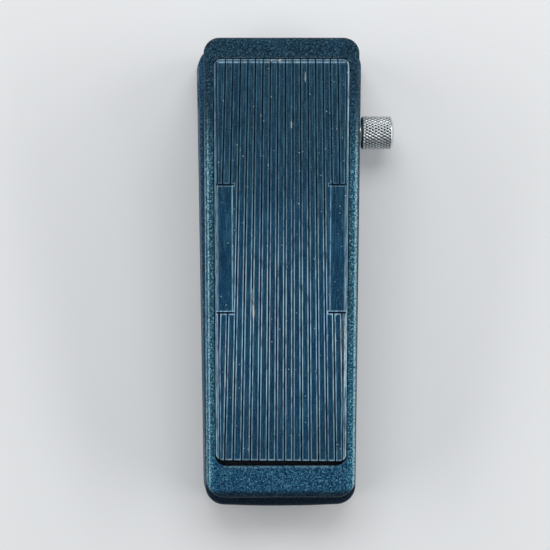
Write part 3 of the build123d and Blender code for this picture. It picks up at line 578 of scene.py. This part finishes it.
def groove_gap(x, s):
    """Distance from the middle of the nearest groove."""
    border = border_line(s)
    gap = np.full(x.shape, FAR)
    for number in GROOVES:
        gap = np.minimum(gap, np.abs(x - groove_line(number, s)))
    gap = np.where(np.abs(x) < border - 0.2, gap, FAR)
    # the side grooves and the one along the toe are thinner than the rest
    side_gap = np.abs(np.abs(x) - border) + 0.14
    toe_gap = np.abs(PAD_TOE - s - 1.0) + 0.2
    gap = np.minimum(gap, np.minimum(side_gap, toe_gap))
    # the panels are plain, with a short groove across each end
    in_panel = (np.abs(x) > PANEL_INNER) & (np.abs(x) < PANEL_OUTER) & beside_panels(s)
    gap = np.where(in_panel, FAR, gap)
    for end in PANEL_ENDS:
        beyond = np.maximum(PANEL_INNER - 0.4 - np.abs(x), np.abs(x) - PANEL_OUTER)
        away = np.maximum(np.abs(s - end), beyond)
        gap = np.minimum(gap, np.where(away < 3, away * 0.85, FAR))
    return gap


def pad_height(x, s, gap, sunk, depth_in):
    """Height of the pad's top: grooved, rounded at the outline and worn down a little by the foot."""
    rounding = np.clip(PAD_ROUND - depth_in, 0, PAD_ROUND)
    edge_drop = PAD_ROUND - np.sqrt(PAD_ROUND**2 - rounding**2)
    crown = 0.10 * np.clip(1 - gap / 1.6, 0, 1) ** 2
    foot_worn = 0.12 * hump(s + 40, 55) * hump(x, 26)
    h = PAD_HIGH - SKIN - crown * (sunk < 1) - foot_worn - GROOVE_DEPTH * sunk - edge_drop
    return np.maximum(h, PAD_LOW + 0.6)


def pad_wear_and_highlights(x, s, gap, sunk, depth_in, from_end):
    """Pale lines along the groove edges, round the panels, round the outline and inside the toe: partly wear,
    partly painted highlights where rounded rubber edges catch the light, strongest across the heel half and on the
    right side.
    """
    heel_wear_and_sheen = smoothstep(50, -12, s) * (0.35 + 0.65 * smoothstep(-92, -52, s))
    strength = 0.14 + 0.11 * smoothstep(95, 40, s) + 0.75 * heel_wear_and_sheen
    groove_edges = hump(gap - 0.70, 0.21) * strength
    panel_inner = hump(np.abs(x) - PANEL_INNER, 0.3) * beside_panels(s) * 0.6
    panel_outer = hump(np.abs(x) - PANEL_OUTER + 0.4, 0.25) * beside_panels(s) * 0.35
    at_end = from_end < PAD_HALF - np.abs(x)
    # the painted highlights along the outline are stronger at the heel end and on the right side
    end_power = np.where(s > 0, 0.42, 0.62) * (sunk < 0.5)
    right_power = 0.40 + 0.45 * hump(s - 96, 26) + 0.4 * smoothstep(-10, -30, s)
    left_power = 0.30 + 0.3 * smoothstep(20, -30, s)
    side_power = np.where(x > 0, right_power, left_power)
    outline = hump(depth_in - 0.5, 0.4) * np.where(at_end, end_power, side_power)
    inside_toe = hump(PAD_TOE - s - 1.75, 0.33) * (sunk < 0.3) * (np.abs(x) < 32.5) * 0.75
    lines = [groove_edges, panel_inner, panel_outer, outline, inside_toe]
    return np.clip(np.maximum.reduce(lines), 0, 1)


def scuff(x, s, x0, s0, x1, s1, width, strength):
    """A short worn stroke from one point to another."""
    run_x, run_s = x1 - x0, s1 - s0
    t = np.clip(((x - x0) * run_x + (s - s0) * run_s) / math.hypot(run_x, run_s) ** 2, 0, 1)
    return strength * hump(np.hypot(x - x0 - t * run_x, s - s0 - t * run_s), width)


def build_pad():
    """The pad: a grooved top, walls down to the treadle and a flat underside."""
    x, s, depth_in, from_end = pad_grid()
    gap = groove_gap(x, s)
    groove_width = 0.8 + 0.2 * smoothstep(70, 0, s)
    sunk = 1 - smoothstep(0.08, 0.50, gap / groove_width)
    h = pad_height(x, s, gap, sunk, depth_in)
    # painted shade: the grooves are painted dark, more so towards the heel
    dark = smoothstep(0.3, 1.0, sunk) * (0.62 + 0.28 * smoothstep(80, 0, s))
    wear = pad_wear_and_highlights(x, s, gap, sunk, depth_in, from_end)
    scuffs = np.maximum.reduce([np.zeros(x.shape)] + [scuff(x, s, *stroke) for stroke in SCUFFS])
    s = s - PAD_SHEAR * x * smoothstep(-70, PAD_HEEL, s)

    rows, columns = x.shape
    faces = []
    for first in range(0, (rows - 1) * columns, columns):
        for a in range(first, first + columns - 1):
            faces.append((a, a + 1, a + columns + 1, a + columns))
    outline = list(range(columns))
    outline += [r * columns + columns - 1 for r in range(1, rows)]
    outline += [(rows - 1) * columns + c for c in range(columns - 2, -1, -1)]
    outline += [r * columns for r in range(rows - 2, 0, -1)]
    layers = [on_treadle(x, s, h).reshape(-1, 3)]
    rings = [outline]
    for height in (PAD_HIGH - 1.3, PAD_LOW + SKIN):
        lowered = np.minimum(height, h.ravel()[outline])
        first = sum(len(layer) for layer in layers)
        layers.append(on_treadle(x.ravel()[outline], s.ravel()[outline], lowered))
        rings.append(list(range(first, first + len(outline))))
    for upper, lower in zip(rings, rings[1:]):
        for i in range(len(outline)):
            j = (i + 1) % len(outline)
            faces.append((upper[j], upper[i], lower[i], lower[j]))
    faces.append(tuple(reversed(rings[-1])))

    pad = mesh_piece("tread_pad_ribbed", np.concatenate(layers), faces, "tread_rubber", "treadle", "tread_pad")
    walls = np.zeros(2 * len(outline))
    # the pad's sides get painted shade at half strength
    set_attribute(pad, "groove", np.concatenate([dark.ravel(), walls + 0.5]))
    set_attribute(pad, "wear", np.concatenate([wear.ravel(), walls]))
    set_attribute(pad, "scuff", np.concatenate([scuffs.ravel(), walls]))


build_pad()


# ---------------------------------------------------------------- diamond-knurled knob
def knob_profile(start, end, radius):
    """Stations along the knob with their radii, and the two ends of the knurl.

    An inner end, the knurled length, a neck with a bevel, and a low dome.
    """
    knurl_start = start + 0.9
    knurl_end = end - KNOB_DOME - KNOB_BEVEL
    dome_start = end - KNOB_DOME
    dome_radius = radius - 1.62
    profile = [
        (start, BORE_RADIUS),
        (start, radius - 1.0),
        (start + 0.06, radius - 0.75),
        (start + 0.5, radius - 0.28),
        (start + 0.75, radius - 0.22),
    ]
    profile += [(v, radius) for v in np.linspace(knurl_start, knurl_end, 81)]
    profile += [
        (knurl_end + 0.10, radius - 0.30),
        (knurl_end + 0.22, radius - 0.30),
        (knurl_end + 0.55, radius - 0.42),
        (dome_start - 0.25, radius - 1.15),
        (dome_start - 0.06, radius - 1.42),
        (dome_start + 0.02, dome_radius),
    ]
    profile += [(end - KNOB_DOME * t**2, dome_radius * t) for t in np.linspace(0.94, 0.0, 14)[:-1]]
    return profile, knurl_start, knurl_end


def knurl(angles, radius, along, to_end):
    """Radius round the knurl and how dark its pits are painted, partly soiling and partly painted shade: two
    families of cuts across each other, deepest where they cross.
    """
    pitch = 2 * math.pi * radius / KNURLS_ROUND
    a = angles * radius + along * KNURL_SLOPE
    b = angles * radius - along * KNURL_SLOPE
    cut_a = (0.5 + 0.5 * np.cos(2 * math.pi * a / pitch)) ** 1.4
    cut_b = (0.5 + 0.5 * np.cos(2 * math.pi * b / pitch)) ** 1.4
    ends = max(0.15, min(1, along / 0.35, to_end / 0.35))
    dirt_and_shade = (0.12 * (cut_a + cut_b) + 0.9 * (cut_a * cut_b)) * ends
    return radius - KNURL_DEPTH * (cut_a + cut_b) / 2 * ends, dirt_and_shade


def wall(first, second):
    """Faces between two closed rings, given by their first vertices."""
    turns = [(a, (a + 1) % STEPS_ROUND) for a in range(STEPS_ROUND)]
    return [(first + a, first + b, second + b, second + a) for a, b in turns]


def build_knob():
    """The knob: a turned and knurled body with a blind bore for the shaft."""
    low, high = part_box("knob")
    middle = (low + high) / 2 / MM
    radius = (high.z - low.z) / 2 / MM - SKIN
    start = low.x / MM + SKIN
    end = high.x / MM - SKIN
    angles = np.arange(STEPS_ROUND) * 2 * math.pi / STEPS_ROUND

    def ring(along, radii):
        """A closed ring of vertices round the knob's axis, in metres."""
        x = np.full(STEPS_ROUND, along)
        return np.stack([x, middle.y + radii * np.cos(angles), middle.z + radii * np.sin(angles)], axis=-1) * MM

    profile, knurl_start, knurl_end = knob_profile(start, end, radius)
    rings = []
    dirt_and_shade = []
    for along, radii in profile:
        ring_dirt_and_shade = np.zeros(STEPS_ROUND)
        if radii == radius:
            radii, ring_dirt_and_shade = knurl(angles, radius, along - knurl_start, knurl_end - along)
        rings.append(ring(along, radii))
        dirt_and_shade.append(ring_dirt_and_shade)
    tip = len(profile) * STEPS_ROUND
    last = tip - STEPS_ROUND
    bore = tip + 1
    vertices = rings + [np.array([[end, middle.y, middle.z]]) * MM, ring(start + BORE_DEPTH, BORE_RADIUS)]
    faces = []
    for first in range(0, last, STEPS_ROUND):
        faces += wall(first, first + STEPS_ROUND)
    faces += [(last + a, last + (a + 1) % STEPS_ROUND, tip) for a in range(STEPS_ROUND)]
    faces += wall(bore, 0)
    faces.append(tuple(bore + a for a in reversed(range(STEPS_ROUND))))

    knob = mesh_piece("knob_knurled", np.concatenate(vertices), faces, "knob_nickel", "minimum_knob", "knob")
    bm = bmesh.new()
    bm.from_mesh(knob.data)
    bmesh.ops.recalc_face_normals(bm, faces=bm.faces)
    bm.to_mesh(knob.data)
    bm.free()
    knob.data.set_sharp_from_angle(angle=math.radians(50))
    set_attribute(knob, "groove", np.clip(np.concatenate(dirt_and_shade + [np.zeros(1 + STEPS_ROUND)]), 0, 1))


build_knob()


# ---------------------------------------------------------------- floor and light
def floor():
    """A plain pale floor; from below it isn't seen, and far away it gives way to the backdrop."""
    bpy.ops.mesh.primitive_plane_add(size=6.0, location=(0, 0, -0.1 * MM))
    plane = bpy.context.object
    plane.name = "floor"
    mat, tree, shader = new_material("floor")
    shader.inputs["Base Color"].default_value = (0.78, 0.79, 0.80, 1)
    shader.inputs["Roughness"].default_value = 0.9
    geometry = tree.nodes.new("ShaderNodeNewGeometry")
    away = tree.nodes.new("ShaderNodeVectorMath")
    away.operation = "LENGTH"
    tree.links.new(geometry.outputs["Position"], away.inputs[0])
    far_off = fade(tree, away.outputs["Value"], 0.42, 1.0)
    clear = tree.nodes.new("ShaderNodeBsdfTransparent")
    mix = tree.nodes.new("ShaderNodeMixShader")
    tree.links.new(calc(tree, "MAXIMUM", geometry.outputs["Backfacing"], far_off), mix.inputs[0])
    tree.links.new(shader.outputs[0], mix.inputs[1])
    tree.links.new(clear.outputs[0], mix.inputs[2])
    tree.links.new(mix.outputs[0], tree.nodes["Material Output"].inputs["Surface"])
    plane.data.materials.append(mat)


def lamp(name, at, target, width, height, watts):
    """A soft rectangular lamp turned towards a target, in metres."""
    data = bpy.data.lights.new(name, "AREA")
    data.shape = "RECTANGLE"
    data.size = width
    data.size_y = height
    data.energy = watts
    obj = bpy.data.objects.new(name, data)
    obj.location = at
    obj.rotation_euler = (Vector(target) - Vector(at)).to_track_quat("-Z", "Y").to_euler()
    scene.collection.objects.link(obj)


def set_world():
    """Dim light from all round; rays from the camera and mirror-like ones see a pale backdrop instead."""
    world = bpy.data.worlds.new("world")
    world.use_nodes = True
    tree = world.node_tree
    background = tree.nodes["Background"]
    background.inputs["Color"].default_value = (0.92, 0.96, 1.0, 1)
    path = tree.nodes.new("ShaderNodeLightPath")
    seen = calc(tree, "MAXIMUM", path.outputs["Is Camera Ray"], path.outputs["Is Transmission Ray"])
    mirrored = product(tree, path.outputs["Is Glossy Ray"], 0.30)
    strength = calc(tree, "MAXIMUM", product(tree, seen, 0.72), mirrored)
    tree.links.new(calc(tree, "MAXIMUM", strength, 0.22), background.inputs["Strength"])
    scene.world = world


floor()
lamp("left_strip", (-0.90, 0.0, 0.50), (0, 0.0, 0.05), 1.2, 0.40, 5.5)
lamp("right_strip", (0.90, 0.0, 0.50), (0, 0.0, 0.05), 1.2, 0.40, 6.5)
lamp("overhead", (0.0, 0.75, 1.10), (0, 0.0, 0.04), 1.2, 0.6, 9.0)
set_world()
scene.view_settings.view_transform = "Standard"
